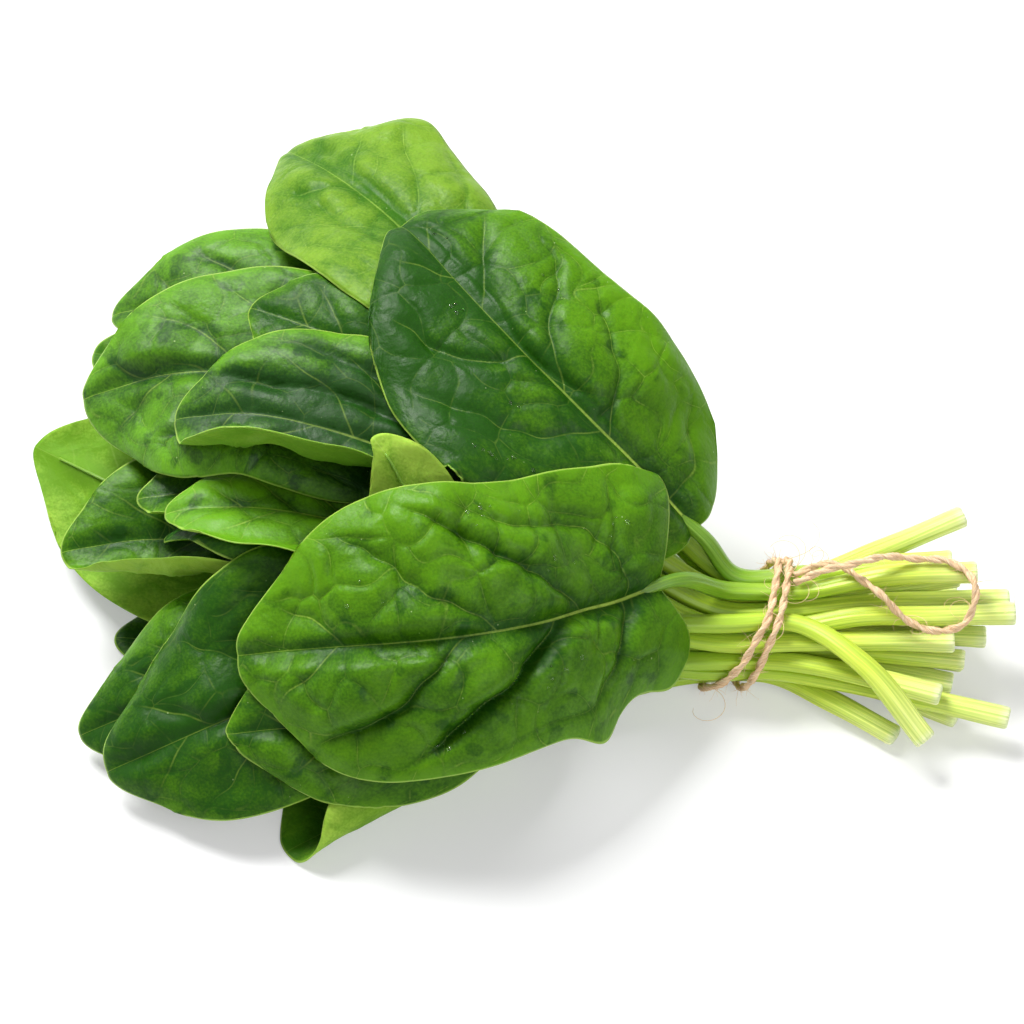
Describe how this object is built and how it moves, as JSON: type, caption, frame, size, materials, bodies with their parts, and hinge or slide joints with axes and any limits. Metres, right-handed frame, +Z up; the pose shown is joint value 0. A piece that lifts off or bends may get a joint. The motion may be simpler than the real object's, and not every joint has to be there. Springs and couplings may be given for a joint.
{
  "type": "spinach bunch",
  "caption": "Bunch of fresh spinach lying on its side, broad green leaves fanning out from long stalks that a jute twine tie with a free loop holds together.",
  "frame": {"origin": "bottom centre of the bunch's bounding box, on the surface it lies on", "axes": "+X along the bunch from the leaf tips to the cut stalk ends, +Y to the back as the bunch is seen from its front, +Z up from the surface"},
  "size_m": [0.26, 0.209, 0.0799],
  "materials": {
    "leaf_dark": "glossy dark green upper side of a mature spinach leaf, with light green veins and a paler matte underside",
    "leaf_mid": "satin mid green upper side of a spinach leaf, with light green veins and a paler matte underside",
    "leaf_pale": "matte pale green underside of a spinach leaf, its veins standing out",
    "twine": "rough two-strand jute twine, pinkish tan, fuzzy"
  },
  "bodies": {
    "root": {"leaf_floor_middle": "leaf_mid", "leaf_floor_back": "leaf_mid", "leaf_rolled": "leaf_pale", "leaf_front_floor": "leaf_mid", "leaf_left_pale": "leaf_pale", "leaf_front_left_back": "leaf_dark", "leaf_back_low": "leaf_mid", "leaf_flank_low": "leaf_mid", "leaf_left_cupped": "leaf_mid", "leaf_left_dark": "leaf_dark", "leaf_front_left": "leaf_dark", "leaf_front_low": "leaf_dark", "leaf_cup_small": "leaf_dark", "leaf_mid_inner": "leaf_dark", "leaf_mid_folded": "leaf_dark", "leaf_back_upper": "leaf_mid", "leaf_flank_upper": "leaf_mid", "leaf_under_top": "leaf_mid", "leaf_left_broad": "leaf_mid", "leaf_small_lobe": "leaf_mid", "leaf_folded": "leaf_dark", "leaf_tip_pale": "leaf_pale", "leaf_top_back": "leaf_mid", "leaf_top_right": "leaf_dark", "leaf_top_front": "leaf_dark", "twine_band": "twine", "twine_loop": "twine"}
  },
  "joints": []
}
